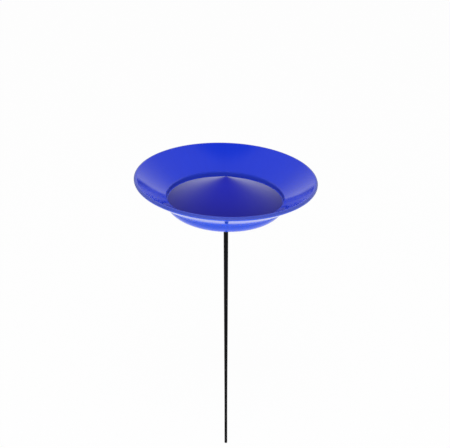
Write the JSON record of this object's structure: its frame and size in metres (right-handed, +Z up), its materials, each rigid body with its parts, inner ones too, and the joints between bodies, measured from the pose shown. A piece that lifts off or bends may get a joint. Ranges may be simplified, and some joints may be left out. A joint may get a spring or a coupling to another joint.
{
  "type": "spinning plate",
  "caption": "Juggling spinning plate: round moulded dish with a coned floor and a curled foot ring, turning on the tip of a slim tapered stick.",
  "frame": {"origin": "centre of the stick's lower end", "axes": "+Z up along the stick; +X towards the side to which the turning plate leans; +Y away from the viewer"},
  "size_m": [0.2399, 0.24, 0.3986],
  "materials": {
    "plate_plastic": "moulded gloss",
    "stick_plastic": "moulded satin"
  },
  "bodies": {
    "stick": {"stick": "stick_plastic"},
    "plate": {"plate": "plate_plastic"}
  },
  "joints": [
    {"name": "plate_spin", "type": "hinge", "parent": "stick", "child": "plate", "pos_m": [0, 0, 0.3939], "axis": [0.0349, 0, 0.9994], "continuous": true}
  ]
}
